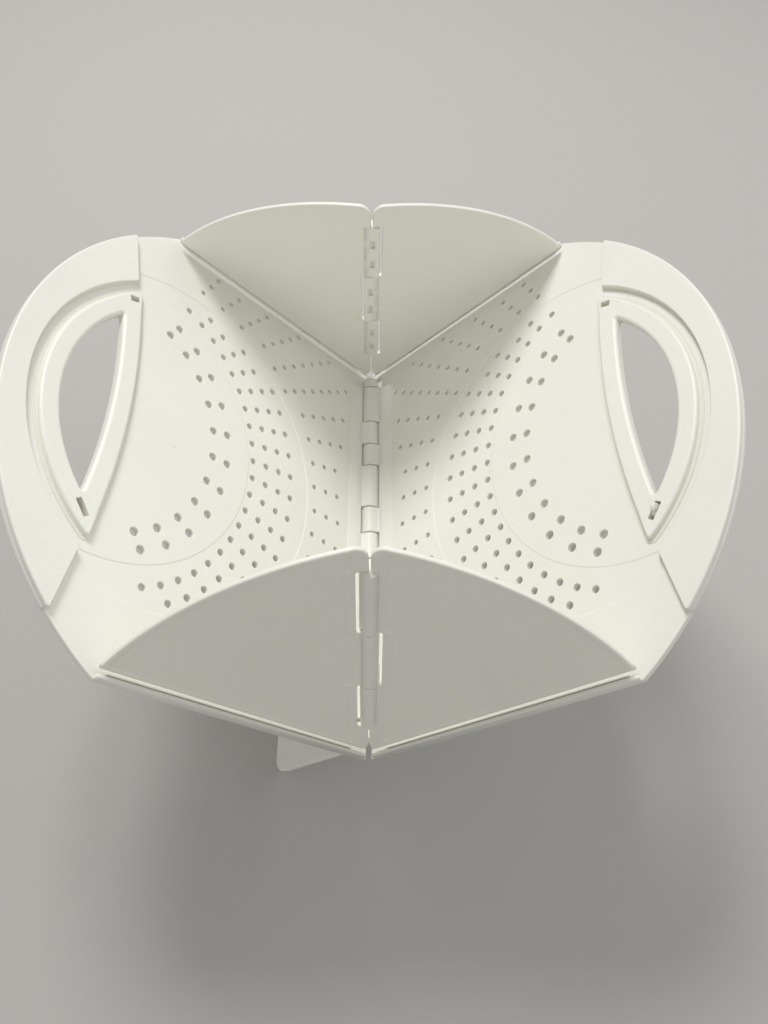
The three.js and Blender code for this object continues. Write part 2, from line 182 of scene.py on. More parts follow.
def turned(path, clockwise=False):
    """The path counter-clockwise, or clockwise for a hole. Material lies on the left of its travel."""
    path = np.asarray(path, float)
    return path[::-1] if (area(path) < 0) != clockwise else path


def filleted(points, radii, steps=5):
    """A closed outline with a round corner wherever radii holds a radius for that point's number."""
    out = []
    count = len(points)
    for i, p in enumerate(points):
        radius = radii.get(i, radii.get(i - count, 0))
        if not radius:
            out.append(tuple(p))
            continue
        p, before, after = (np.array(q, float) for q in (p, points[i - 1], points[(i + 1) % count]))
        a, b = before - p, after - p
        a, b = a / np.linalg.norm(a), b / np.linalg.norm(b)
        half = math.acos(float(np.clip(a @ b, -1, 1))) / 2
        centre = p + (a + b) / np.linalg.norm(a + b) * radius / math.sin(half)
        first = p + a * radius / math.tan(half) - centre
        last = p + b * radius / math.tan(half) - centre
        sweep = math.pi - 2 * half
        for k in range(steps + 1):
            t = k / steps
            mix = first * math.sin((1 - t) * sweep) + last * math.sin(t * sweep)
            out.append(tuple(centre + mix / math.sin(sweep)))
    return np.array(out)


def inside(points, loops):
    """Even-odd test of points against closed loops."""
    points = np.asarray(points, float)
    odd = np.zeros(len(points), bool)
    px, py = points[:, 0][:, None], points[:, 1][:, None]
    for loop in loops:
        x0, y0 = np.asarray(loop, float).T
        x1, y1 = np.roll(x0, -1), np.roll(y0, -1)
        crosses = (y0 > py) != (y1 > py)
        with np.errstate(divide="ignore", invalid="ignore"):
            at = x0 + (py - y0) * (x1 - x0) / (y1 - y0)
        odd ^= (crosses & (px < at)).sum(1) % 2 == 1
    return odd


# ---- solids --------------------------------------------------------------------------------------


def corner(offset, level, radius, start, end, steps=4):
    """Points of a rounded edge: (offset, level, tilt of the normal from straight up, in degrees).
    offset and level are those of the corner's centre."""
    tilts = np.linspace(start, end, steps + 1)
    return [
        (offset + radius * math.sin(math.radians(t)), level + radius * math.cos(math.radians(t)), t)
        for t in tilts
    ]


def hollow(offset, level, radius, start, end, steps=4):
    """The same for a concave fillet, whose centre is outside the material."""
    tilts = np.linspace(start, end, steps + 1)
    return [
        (offset - radius * math.sin(math.radians(t)), level - radius * math.cos(math.radians(t)), t)
        for t in tilts
    ]


def edge(top, bottom, over=0.4, under=0.4):
    """The profile of a plate's side: a rounded upper edge, a straight wall and a rounded lower edge."""
    return corner(-over, top - over, over, 0, 90) + corner(-under, bottom + under, under, 90, 180)


class Solid:
    """A closed body made of rings that follow plan outlines, walls between them, and flat caps."""

    def __init__(self):
        self.points, self.normals, self.stains, self.faces = [], [], [], []

    def ring(self, path, offset, level, tilt, stain=0.0):
        """Adds one ring and returns its vertex numbers. offset, level and tilt may vary along the path."""
        path = np.asarray(path, float)
        ahead = np.roll(path, -1, 0) - path
        ahead /= np.linalg.norm(ahead, axis=1)[:, None]
        out = np.column_stack([ahead[:, 1], -ahead[:, 0]])
        both = out + np.roll(out, 1, 0)
        both /= np.linalg.norm(both, axis=1)[:, None]
        mitre = both / np.maximum(0.5, (both * out).sum(1))[:, None]
        count = len(path)
        offset, level, tilt, stain = (np.broadcast_to(x, count) for x in (offset, level, tilt, stain))
        tilt = np.radians(tilt)
        start = len(self.points)
        flat = path + mitre * offset[:, None]
        self.points.extend(np.column_stack([flat, level]))
        self.normals.extend(np.column_stack([both * np.sin(tilt)[:, None], np.cos(tilt)]))
        # Painted shade amount for each vertex.
        self.stains.extend(stain)
        return np.arange(start, start + count)

    def bridge(self, a, b):
        """Joins two rings of the same path with a band of faces."""
        for i in range(len(a)):
            j = (i + 1) % len(a)
            self.faces.append((a[i], b[i], b[j], a[j]))

    def wall(self, path, profile, other=None, share=None, stain=0.0):
        """Rings along a profile, joined up. share blends each point's profile towards the other one.
        Returns the first and the last ring."""
        rings = []
        for k, here in enumerate(profile):
            here = np.array(here, float)
            # Painted shade: grows with depth below the profile's top, full at 1.5 mm, none on the last
            # ring.
            depth = min(1, max(0, (profile[0][1] - here[1]) / 1.5))
            tone = stain * depth if k < len(profile) - 1 else 0
            if other is None:
                rings.append(self.ring(path, *here, tone))
            else:
                there = np.array(other[k], float)
                mixed = here[None] * (1 - share[:, None]) + there[None] * share[:, None]
                rings.append(self.ring(path, *mixed.T, tone))
        for a, b in zip(rings, rings[1:]):
            self.bridge(a, b)
        return rings[0], rings[-1]

    def cap(self, bounds, holes=(), up=True):
        """Fills the flat region between closed rings. Only those holes that lie in the region are cut."""
        points = np.array(self.points)
        plans = [points[b, :2] for b in bounds]
        if holes:
            within = inside([points[h[0], :2] for h in holes], plans)
            loops = list(bounds) + [h for h, k in zip(holes, within) if k]
        else:
            loops = list(bounds)
        numbers = np.concatenate(loops)
        edges, start = [], 0
        for loop in loops:
            count = len(loop)
            edges += [(start + i, start + (i + 1) % count) for i in range(count)]
            start += count
        found = delaunay_2d_cdt([Vector(p) for p in points[numbers, :2]], edges, [], 0, 1e-7)
        names = [
            numbers[origin[0]] if origin else self.crossing(place, points, numbers)
            for place, origin in zip(found[0], found[3])
        ]
        points = np.array(self.points)
        triangles = np.array([[names[v] for v in f] for f in found[2]])
        middles = points[triangles, :2].mean(1)
        kept = triangles[inside(middles, [points[loop, :2] for loop in loops])]
        a, b, c = (points[kept[:, k], :2] for k in range(3))
        turn = (b[:, 0] - a[:, 0]) * (c[:, 1] - a[:, 1]) - (b[:, 1] - a[:, 1]) * (c[:, 0] - a[:, 0])
        flip = (turn < 0) == up
        kept[flip] = kept[flip][:, ::-1]
        self.faces += [tuple(t) for t in kept]

    def crossing(self, place, points, numbers):
        """A new vertex where two rings cross, as high as the nearest one."""
        near = numbers[np.argmin(np.hypot(points[numbers, 0] - place.x, points[numbers, 1] - place.y))]
        self.points.append(np.array((place.x, place.y, points[near, 2])))
        self.normals.append(self.normals[near])
        # The new vertex takes the nearest one's painted shade too.
        self.stains.append(self.stains[near])
        return len(self.points) - 1

    def mark(self, x, y, radius, level, depth=0.1, width=0.28, up=True):
        """A round witness line such as an ejector pin leaves: returns its two edge rings for the cap."""
        side, base = (1, 0) if up else (-1, 180)
        lean = 50 * side
        profile = [(0, level, base), (-width * 0.25, level - side * depth / 2, base - lean),
                   (-width * 0.5, level - side * depth, base),
                   (-width * 0.75, level - side * depth / 2, base + lean), (-width, level, base)]
        path = ring_of(x, y, radius, 28)[::-1]
        rings = [self.ring(path, *p) for p in profile]
        for a, b in zip(rings, rings[1:]):
            self.bridge(*((b, a) if up else (a, b)))
        return [rings[0], rings[-1]]


def plate(path, top, bottom, over=0.4, under=0.4):
    """A simple plate with rounded edges."""
    solid = Solid()
    first, last = solid.wall(path, edge(top, bottom, over, under))
    solid.cap([first])
    solid.cap([last], up=False)
    return solid


def bored_plate(path, bore, top, bottom, over=0.5, under=0.5):
    """A plate with one round bore about its plan's origin."""
    solid = Solid()
    outer = solid.wall(path, edge(top, bottom, over, under))
    inner = solid.wall(ring_of(0, 0, bore, 24), edge(top, bottom, 0.2, 0.2))
    solid.cap([outer[0], inner[0]])
    solid.cap([outer[1], inner[1]], up=False)
    return solid


# ---- parts ---------------------------------------------------------------------------------------

# A section plate is drawn in (v, w) and runs along u.
SECTION = Matrix(((0, 0, 1, 0), (1, 0, 0, 0), (0, 1, 0, 0), (0, 0, 0, 1)))


def shell_frame(side):
    """From a shell's own millimetres to the row frame's metres. side is left or right."""
    c, s = math.cos(OPEN_ANGLE), math.sin(OPEN_ANGLE)
    axes = Matrix(((0, -c, s, 0), (1, 0, 0, 0), (0, s, c, AXIS_HEIGHT), (0, 0, 0, 1)))
    turn = Matrix.Rotation(math.pi if side == "right" else 0, 4, "Z")
    return Matrix.Scale(MM, 4) @ turn @ axes


def gusset_frame(side, end):
    """The frame of a gusset, swung up from its shell. end is -1 or 1 along u."""
    swing = Matrix.Rotation(end * GUSSET_TURN, 4, "Y")
    return shell_frame(side) @ Matrix.Translation((end * HALF_KEEL, 0, 0)) @ swing


def make_piece(name, solids, material, body, replaces):
    """One mesh from several placed solids. It rides on a body and stands for its CAD nodes."""
    points, normals, stains, faces = [], [], [], []
    for solid, matrix in solids:
        m = np.array(matrix)
        start = len(points)
        points.extend(np.array(solid.points) @ m[:3, :3].T + m[:3, 3])
        turn = np.array(matrix.to_3x3().normalized())
        normals.extend(np.array(solid.normals) @ turn.T)
        stains.extend(solid.stains)
        order = -1 if matrix.determinant() < 0 else 1
        faces.extend(tuple(int(i) + start for i in f[::order]) for f in solid.faces)
    mesh = bpy.data.meshes.new(name)
    mesh.from_pydata([tuple(p) for p in points], [], faces)
    mesh.shade_smooth()
    mesh.normals_split_custom_set_from_vertices([tuple(n) for n in normals])
    # Painted shade amounts go to the mesh as an attribute that the materials read.
    attribute = mesh.attributes.new("stain", "FLOAT", "POINT")
    attribute.data.foreach_set("value", np.array(stains, np.float32))
    piece = bpy.data.objects.new(name, mesh)
    bpy.context.scene.collection.objects.link(piece)
    mesh.materials.append(material)
    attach(piece, body)
    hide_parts(*replaces)
    return piece


# ---- shell moulding ------------------------------------------------------------------------------


def perforations():
    """(u, v, radius) of every drain hole."""
    holes = []
    for fan in range(len(SMALL["counts"])):
        step = CLOSE_STEP if fan == CLOSE_FAN else SMALL["step"]
        small = [SMALL["starts"][fan] + i * step for i in range(SMALL["counts"][fan])]
        rows = [(MEDIUM["rings"][: MEDIUM["counts"][fan]], MEDIUM), (small, SMALL)]
        if fan % 2 == 0:
            rows.append((LARGE["rings"], LARGE))
        outward = fan / LAST_FAN
        for side in (-1, 1) if fan else (1,):
            for rings, size in rows:
                angle = side * fan * FAN_STEP * (1 - size["squeeze"] * outward**2)
                for ring in rings:
                    r = ring * (1 - size["pull"] * outward**6)
                    holes.append((r * math.sin(angle), FAN_CENTRE - r * math.cos(angle), size["radius"]))
    return holes


def slot_path(side, end, grow=0.0):
    """The latch slot of one handle end. end is front or rear, side its sign along u."""
    slot = SLOTS[end]
    c, s = math.cos(-side * slot["turn"]), math.sin(-side * slot["turn"])
    half = (slot["length"] / 2 + grow, slot["width"] / 2 + grow)
    corners = [(-half[0], -half[1]), (half[0], -half[1]), (half[0], half[1]), (-half[0], half[1])]
    placed = [(side * slot["u"] + x * c - y * s, slot["v"] + x * s + y * c) for x, y in corners]
    return turned(filleted(placed, {i: SLOT_CORNER for i in range(4)}, 3), clockwise=True)


def opening_path(grow=0.0):
    """The crescent finger opening, or the same crescent grown."""
    outer = (OPENING[0], OPENING[1], OPENING[2] + grow)
    bar = (OPENING_BAR[0], OPENING_BAR[1], OPENING_BAR[2] + grow)
    tip = OPENING_TIP + grow * 0.6
    top = arc(outer, angle_at(outer, tip), 180 - angle_at(outer, tip))
    low = arc(bar, -180 + angle_at(bar, tip), -angle_at(bar, tip))
    ends = (0, len(top) - 1, len(top), -1)
    return turned(filleted(top + low, {k: OPENING_TIP_RADIUS for k in ends}, 3), clockwise=True)


def band_line(band):
    """A line of the recessed band: an ellipse below, closed along an arc under the rim."""
    end = math.acos(band["end"] / band["half_width"])
    low = [
        (band["half_width"] * math.cos(t), band["v"] + band["half_height"] * math.sin(t))
        for t in np.linspace(-math.pi - end, end, 110)
    ]
    cover = (0, RIM_INNER[1], RIM_INNER[2] + band["under_rim"])
    turn = angle_at(cover, band["end"])
    return turned(low + arc(cover, turn, 180 - turn))


def step_profile(inner_level, outer_level, width=0.9):
    """A soft step across a line: S-shaped, from its inner side to its outer side."""
    rise = outer_level - inner_level
    out = []
    for t in np.linspace(0, 1, 6):
        slope = 6 * t * (1 - t) * rise / width
        level = inner_level + rise * t * t * (3 - 2 * t)
        out.append(((t - 0.5) * width, level, -math.degrees(math.atan(slope))))
    return out


def strainer_plate(slots):
    """The perforated plate with its recessed band, and the thin ears beyond the hinge."""
    side = LIP_OUTER - INSET
    border = (OUTER[0], OUTER[1], OUTER[2] - INSET)
    turn = angle_at(border, side)
    cap_from, room_to = END_CAP["start"], END_CAP["end"] + 0.8
    points = [
        (cap_from, EAR_TOP), (cap_from, EAR_START), (side, EAR_START), *arc(border, turn, 180 - turn),
        (-side, EAR_START), (-room_to, EAR_START), (-room_to, LEAF["start"]),
        (-EAR_INNER, LEAF["start"]), (-EAR_INNER, EAR_TOP),
    ]
    outline = turned(points)
    solid = Solid()
    top, bottom = solid.wall(outline, edge(FLOOR, PLATE_BACK, 0.55, 0.75))
    outer_in, outer_out = solid.wall(band_line(BAND_OUTER), step_profile(GROOVE, FLOOR))
    inner_in, inner_out = solid.wall(band_line(BAND_INNER), step_profile(FLOOR, GROOVE))
    upper, lower = [], []
    plan_outer = np.array(solid.points)[outer_in, :2]
    plan_inner = np.array(solid.points)[inner_out, :2]
    for u, v, radius in perforations():
        in_band = inside([(u, v)], [plan_outer, plan_inner])[0]
        level = GROOVE if in_band else FLOOR
        above = corner(-0.35, level - 0.35, 0.35, 0, 90, 3)
        below = corner(-0.25, PLATE_BACK + 0.25, 0.25, 90, 180, 2)
        count = 20 if radius < 2 else 24
        # Painted shade down the hole walls.
        a, b = solid.wall(ring_of(u, v, radius, count), above + below, stain=0.5)
        upper.append(a)
        lower.append(b)
    cuts = [opening_path(CUT_BACK["opening"]), *[slot_path(k, end, CUT_BACK["slot"]) for k, end in slots]]
    for path in cuts:
        a, b = solid.wall(path, edge(FLOOR, PLATE_BACK, 0.1, 0.1))
        upper.append(a)
        lower.append(b)
    marks = []
    for u, v, radius in PLATE_MARKS:
        marks += solid.mark(u, v, radius, FLOOR)
    holes = upper + marks
    solid.cap([top, outer_out], holes)
    solid.cap([outer_in, inner_out], holes)
    solid.cap([inner_in], holes)
    solid.cap([bottom, *lower], up=False)
    return solid


# The end of a raised wall's profile, sunk in the plate, as (offset, level, tilt).
BURIED = [(-0.2, FLOOR - 0.6, 120), (-0.2, BACK + 0.3, 90), (-0.5, BACK, 180)]


def skirted(top_radius, skirt, draft=84):
    """The profile of a raised wall: rounded above, drafted, and with a fillet onto the plate below."""
    return (
        corner(-top_radius, TOP - top_radius, top_radius, 0, draft)
        + hollow(skirt + 0.05, FLOOR + skirt, skirt, draft, 0)
        + [(skirt - 0.3, FLOOR - 0.2, 90), *BURIED]
    )


def ledged(top_radius, skirt, draft=80):
    """The profile of a raised wall with a low ledge at its foot."""
    width, height, rounding = RING_LEDGE["width"], RING_LEDGE["height"], RING_LEDGE["rounding"]
    floor = FLOOR + height
    return (
        corner(-top_radius, TOP - top_radius, top_radius, 0, draft)
        + hollow(skirt + 0.05, floor + skirt, skirt, draft, 0)
        + corner(width - rounding, floor - rounding, rounding, 0, 90, 3)
        + [(width, FLOOR - 0.2, 90), *BURIED]
    )


def rim():
    """The raised handle rim: a crescent whose two ends stand across the plate."""
    cut = angle_at(OUTER, RIM_CUT["outer"])
    bend = angle_at(RIM_INNER, RIM_CUT["inner"])
    outside = arc(OUTER, cut, 180 - cut)
    inside_line = arc(RIM_INNER, 180 - bend, bend)
    radii = {0: 0.9, len(outside) - 1: 0.9, len(outside): 1.6, -1: 1.6}
    path = filleted(outside + inside_line, radii)
    from_outside = OUTER[2] - np.hypot(path[:, 0] - OUTER[0], path[:, 1] - OUTER[1])
    share = np.clip(from_outside / 0.9, 0, 1)
    inner_wall = skirted(0.5, 0.9)
    outer_top, outer_foot = corner(-0.9, TOP - 0.9, 0.9, 0, 90), corner(-0.6, BACK + 0.6, 0.6, 90, 180)
    between = len(inner_wall) - len(outer_top) - len(outer_foot)
    outer_wall = outer_top + [(0, FLOOR, 90)] * between + outer_foot
    solid = Solid()
    # Painted shade on the inner wall, down into the channel by the grip ring.
    top, bottom = solid.wall(path, outer_wall, inner_wall, share, stain=0.3 * share)
    marks = []
    for degrees, radius in RIM_MARKS:
        t = math.radians(degrees)
        drop = RIM_INNER[1] - OUTER[1]
        near = drop * math.sin(t) + math.sqrt(RIM_INNER[2] ** 2 - (drop * math.cos(t)) ** 2)
        middle = (near + OUTER[2]) / 2
        marks += solid.mark(middle * math.cos(t), OUTER[1] + middle * math.sin(t), radius, TOP)
    solid.cap([top], marks)
    solid.cap([bottom], up=False)
    return solid


def lip(side):
    """The narrow raised lip along one straight edge of the shell, beside a gusset."""
    points = [(LIP_INNER, LIP_START), (LIP_OUTER, LIP_START), (LIP_OUTER, LIP_END), (LIP_INNER, LIP_END)]
    path = turned(filleted([(side * u, v) for u, v in points], {2: 0.8, 3: 0.8}, 4))
    return plate(path, TOP, BACK, 0.6, 0.6)


def grip_ring(slots):
    """The raised grip ring round the finger opening, with a latch slot in each pointed end."""
    turn = angle_at(RING, RING_TIP)
    high = arc(RING, turn, 180 - turn)
    bar = angle_at(BAR, RING_TIP)
    low = arc(BAR, -180 + bar, -bar)
    ends = (0, len(high) - 1, len(high), -1)
    path = turned(filleted(high + low, {k: RING_TIP_RADIUS for k in ends}, 3))
    share = np.clip((abs(path[:, 0]) - RING_SHARPENS["from"]) / RING_SHARPENS["over"], 0, 1)
    solid = Solid()
    # Faint painted shade down the ring's walls.
    top, bottom = solid.wall(path, ledged(1.6, 0.4), ledged(0.7, 0.4), share, stain=0.2)
    uppers, lowers = [top], [bottom]
    grip = corner(-1.9, TOP - 1.9, 1.9, 0, 90, 7) + corner(-1.5, BACK + 1.5, 1.5, 90, 180, 6)
    a, b = solid.wall(opening_path(), grip)
    uppers.append(a)
    lowers.append(b)
    for side, end in slots:
        # Strong painted shade down the slot walls.
        a, b = solid.wall(slot_path(side, end), edge(TOP, BACK, 0.25, 0.25), stain=0.8)
        uppers.append(a)
        lowers.append(b)
    solid.cap(uppers)
    solid.cap(lowers, up=False)
    return solid


def latch_hook():
    """The latch hook, drawn in the plane of its slot's length: a stem, a sloping nose and a wider base."""
    below, above, root = HOOK["below"], HOOK["above"], HOOK["below"] + 1.4
    stem = [
        (-1.4, root), (1.0, root), (1.0, 0.5), (2.15, 0.85),
        (2.15, 1.25), (0.7, above), (-0.7, above), (-1.4, 0.4),
    ]
    stem = [(x + HOOK["shift"], y) for x, y in stem]
    stem_radii = {2: 0.3, 3: 0.2, 4: 0.35, 5: 0.5, 6: 0.5, 7: 0.4}
    base = [(-3.6, below), (2.15, below), (2.15, -2.2), (1.6, -1.3), (-1.6, -1.3), (-3.6, -2.2)]
    base_radii = {k: 0.3 for k in (2, 3, 4, 5)}
    half, wide = HOOK["width"] / 2, HOOK["base_width"] / 2
    return [
        plate(turned(filleted(stem, stem_radii, 4)), half, -half, 0.15, 0.15),
        plate(turned(filleted(base, base_radii, 4)), wide, -wide, 0.2, 0.2),
    ]


def hook_frame():
    """The hook stands in the right handle's front slot."""
    slot = SLOTS["front"]
    c, s = math.cos(-slot["turn"]), math.sin(-slot["turn"])
    return Matrix(((c, 0, s, slot["u"]), (s, 0, -c, slot["v"]), (0, 1, 0, 0), (0, 0, 0, 1)))


# ---- keel hinge ----------------------------------------------------------------------------------


def leaf_band():
    """The ramp along the keel that carries the fingers."""
    points = [
        (LEAF["start"], BACK), (LEAF["end"], BACK),
        (LEAF["end"] - 0.2, LEAF["foot"]), (LEAF["start"], LEAF["top"]),
    ]
    path = turned(filleted(points, {0: 0.5, 2: 0.6, 3: 0.45}, 4))
    return plate(path, LEAF["half_length"], -LEAF["half_length"], 0.35, 0.35)


def finger(start, end, with_foot):
    """One knuckle of the keel hinge: a barrel with its root in the leaf."""
    root, foot = LEAF["start"] + 1.6, BACK + 0.02
    top = LEAF["top"] - 0.35
    bend = ((7.5, top + 0.05), (6.15, LEAF["top"] + 0.1), (5.9, 1.1))  # from the ramp onto the barrel
    first, pull, last = (np.array(p) for p in bend)
    fillet = [
        tuple((1 - t) ** 2 * first + 2 * t * (1 - t) * pull + t * t * last)
        for t in np.linspace(0, 1, 5)
    ]
    turn = math.degrees(math.atan2(last[1], last[0])) + 4
    if with_foot:
        drop, reach = 3.4, FOOT["top"] + 0.2
        barrel = arc((0, 0, BARREL), turn, 180 + math.degrees(math.asin(drop / BARREL)), 0.8)
        tail = [(reach, -drop), (reach, foot)]
    else:
        barrel = arc((0, 0, BARREL), turn, 268, 0.8)
        tail = []
    path = turned([(root, foot), (root, top), *fillet, *barrel, *tail])
    return bored_plate(path, BORE, end, start)


def end_cap():
    """The last barrel at one end: solid, tapering towards the gussets, with a rounded tip."""
    start, end, tip, rounding = (END_CAP[k] for k in ("start", "end", "tip", "rounding"))
    slope = math.degrees(math.atan((BARREL - tip) / (end - start)))
    # The rings follow a circle of radius 1, so an offset is the radius there less 1.
    path = ring_of(0, 0, 1, 48)[::-1]
    barrel = BARREL - 1
    profile = [
        (barrel - 0.4, start, 180),
        (barrel, start + 0.4, 90 - slope),
        (tip - 0.7, end - rounding, 90 - slope),
    ]
    for t in (70, 50, 30, 10, 0):
        offset = tip - 0.85 - rounding + rounding * math.sin(math.radians(t))
        profile.append((offset, end - rounding + rounding * math.cos(math.radians(t)), t))
    solid = Solid()
    rings = [solid.ring(path, *p) for p in profile]
    for a, b in zip(rings, rings[1:]):
        solid.bridge(b, a)
    solid.cap([rings[-1]])
    solid.cap([rings[0]], up=False)
    return solid


def foot_plate():
    """The foot, cut so that its sole is level with the floor when the basket is open."""
    tip = (-AXIS_HEIGHT - FLOOR * math.cos(OPEN_ANGLE)) / math.sin(OPEN_ANGLE)
    start, end, root, low = FOOT["start"], FOOT["end"], FOOT["top"], FOOT["corner"]
    points = [(start, tip), (end, tip), (end, root), (start, root)]
    path = turned(filleted(points, {0: low, 1: low, 2: 1.5, 3: 1.5}, 10))
    solid = Solid()
    top, bottom = solid.wall(path, edge(FLOOR, BACK, 0.7, 0.7))
    front = [solid.mark(*m, FLOOR, 0.25, 0.7) for m in FOOT_MARKS]
    behind = [solid.mark(*m, BACK, 0.25, 0.7, up=False) for m in FOOT_MARKS]
    solid.cap([top], [r for m in front for r in m])
    solid.cap([bottom, *[r for m in behind for r in m]], up=False)
    # The sole slants across the plate's thickness. The slant fades out further up.
    for p in solid.points:
        reach = min(1.0, max(0.0, (-FOOT["slant_from"] - p[1]) / FOOT["slant_fade"]))
        p[1] += reach * (FLOOR - p[2]) / math.tan(OPEN_ANGLE)
    return solid


# ---- gussets -------------------------------------------------------------------------------------


def along_crease(s, t):
    """The point s along the crease from the apex and t off it to the gusset's side, as (a, b)."""
    x, y = math.sin(SECTOR), math.cos(SECTOR)
    return (x * s - y * t, y * s + x * t)


def gusset_plan(notches):
    """Outline of a gusset in (a, b), with a notch for each knuckle of the other gusset."""
    edge_r, crease_r, gap, nose_r = (GUSSET[k] for k in ("edge", "crease", "gap", "corner"))
    near, far = GUSSET["crease_gap"], KNUCKLE["notch"]
    last = SECTOR - math.atan((nose_r + near) / crease_r)
    betas = np.linspace(math.asin(gap / edge_r), last, 40)
    radii = edge_r + (crease_r - edge_r) * betas / SECTOR
    rim = [(r * math.sin(b), r * math.cos(b)) for r, b in zip(radii, betas)]
    centre_s, centre_t = crease_r - nose_r - 0.3, nose_r + near
    nose = [
        along_crease(centre_s + nose_r * math.sin(q), centre_t - nose_r * math.cos(q))
        for q in np.radians(np.linspace(80, 0, 8))
    ]
    line = []
    for s0, s1 in sorted(notches, reverse=True):
        top, low = s1 + KNUCKLE["clearance"], s0 - KNUCKLE["clearance"]
        for s, t, r in ((top, near, 0.6), (top, far, 0.8), (low, far, 0.8), (low, near, 0.6)):
            line.append((*along_crease(s, t), r))
    line.append((*along_crease(GUSSET["apex"] + 2, near), 1.0))
    points = [(gap, GUSSET["apex"]), *rim, *nose, *[p[:2] for p in line]]
    radii = {len(points) - len(line) + i: p[2] for i, p in enumerate(line)}
    return filleted(points, {0: 1.0, **radii}, 4)


def border_plan(notches):
    """The line on the outer face inside which the gusset is a little thinner."""
    edge_r, crease_r = GUSSET["edge"] - BORDER, GUSSET["crease"] - BORDER
    first = math.asin(BORDER / edge_r)
    last = SECTOR - CREASE_BORDER / crease_r
    betas = np.linspace(first, last, 30)
    radii = edge_r + (crease_r - edge_r) * betas / SECTOR
    rim = [(r * math.sin(b), r * math.cos(b)) for r, b in zip(radii, betas)]
    rim_s = rim[-1][0] * math.sin(SECTOR) + rim[-1][1] * math.cos(SECTOR)
    low_s = CREASE_BORDER * 1.2 + BORDER / math.sin(SECTOR)
    meet = along_crease(low_s + CREASE_BORDER, CREASE_BORDER)
    corner_b = meet[1] - (meet[0] - BORDER) / math.tan(SECTOR)
    line = []
    near, far = CREASE_BORDER, KNUCKLE["notch"] + PAD["width"]
    for s0, s1 in sorted(notches, reverse=True):
        top, low = min(s1 + PAD["above"], rim_s - 2.5), s0 - PAD["above"]
        for s, t, r in ((top, near, 0.9), (top, far, 1.4), (low, far, 1.4), (low, near, 0.9)):
            line.append((*along_crease(s, t), r))
    points = [(BORDER, corner_b), *rim, *[p[:2] for p in line]]
    radii = {len(points) - len(line) + i: p[2] for i, p in enumerate(line)}
    return filleted(points, {0: 2.0, 1: 2.2, len(rim): 2.2, **radii}, 5)


def gusset_solid(end, own):
    """A gusset plate lying flat. own lists the crease spans whose knuckles it carries."""
    other = [s for s in CREASE_SPANS if s not in own]

    def place(plan):
        return turned([(-end * a, b) for a, b in plan])

    solid = Solid()
    outline = place(gusset_plan(other))
    across, along = abs(outline[:, 0]), outline[:, 1]
    from_crease = along * math.sin(SECTOR) - across * math.cos(SECTOR)
    reach = along * math.cos(SECTOR) + across * math.sin(SECTOR)
    share = np.clip((8.5 - from_crease) / 2, 0, 1) * np.clip((GUSSET["edge"] - 3 - reach) / 3, 0, 1)
    rim, notch = edge(GUSSET_OUT, GUSSET_IN, 0.9, 0.75), edge(GUSSET_OUT, GUSSET_IN, 0.35, 0.35)
    top, bottom = solid.wall(outline, rim, notch, share)
    border = step_profile(GUSSET_OUT - BORDER_STEP, GUSSET_OUT, 1.0)
    inner, outer = solid.wall(place(border_plan(other)), border)
    marks = [r for a, b in ((52, 92), (20, 60)) for r in solid.mark(-end * a, b, 3.4, GUSSET_IN, up=False)]
    solid.cap([top, outer])
    solid.cap([inner])
    solid.cap([bottom, *marks], up=False)
    return solid


def knuckle_path(window):
    """Section across the crease in (t, w): a barrel on a tab, with a core window in its inner face."""
    r, tab = KNUCKLE["radius"], KNUCKLE["tab"]
    core, root = KNUCKLE["core"], KNUCKLE["root"]
    rise = math.degrees(math.asin(GUSSET_OUT / r))
    barrel = arc((0, 0, r), rise + 6, 180 - rise - 6, 0.5)
    tip = [(-r * 0.99, GUSSET_OUT), (-tab, GUSSET_OUT), (-tab, KNUCKLE_IN), (-core, KNUCKLE_IN)]
    tip = filleted(tip, {1: 0.6, 2: 0.6}, 3).tolist()
    if window:
        inner = [(-core, -1.5), (core, -1.5), (core, KNUCKLE_IN)]
    else:
        inner = [(-0.9, KNUCKLE_IN - 0.02), (0, KNUCKLE_IN - 0.05), (0.9, KNUCKLE_IN - 0.02)]
    return turned([*barrel, *tip, *inner, (root, KNUCKLE_IN), (root, GUSSET_OUT - 0.1)])


def crease_frame(end):
    """Maps a section in (t, w), run along s, to the flat gusset's plane."""
    x, y = math.sin(SECTOR), math.cos(SECTOR)
    along = Vector((-end * x, y, 0))
    across = Vector((end * y, x, 0))
    up = Vector((0, 0, 1))
    return Matrix((
        (across.x, up.x, along.x, 0),
        (across.y, up.y, along.y, 0),
        (across.z, up.z, along.z, 0),
        (0, 0, 0, 1),
    ))


def knuckle_solids(span):
    """The slices of one knuckle: solid ends, and two core windows between them."""
    s0, s1 = span
    length = s1 - s0
    solids = []
    for k, (a, b) in enumerate(zip(KNUCKLE_CUTS, KNUCKLE_CUTS[1:])):
        first = 0.45 if a == 0 else 0.02
        last = 0.45 if b == 1 else 0.02
        solids.append(plate(knuckle_path(window=k % 2 == 1), s0 + b * length, s0 + a * length, last, first))
    return solids


# ---- materials -----------------------------------------------------------------------------------


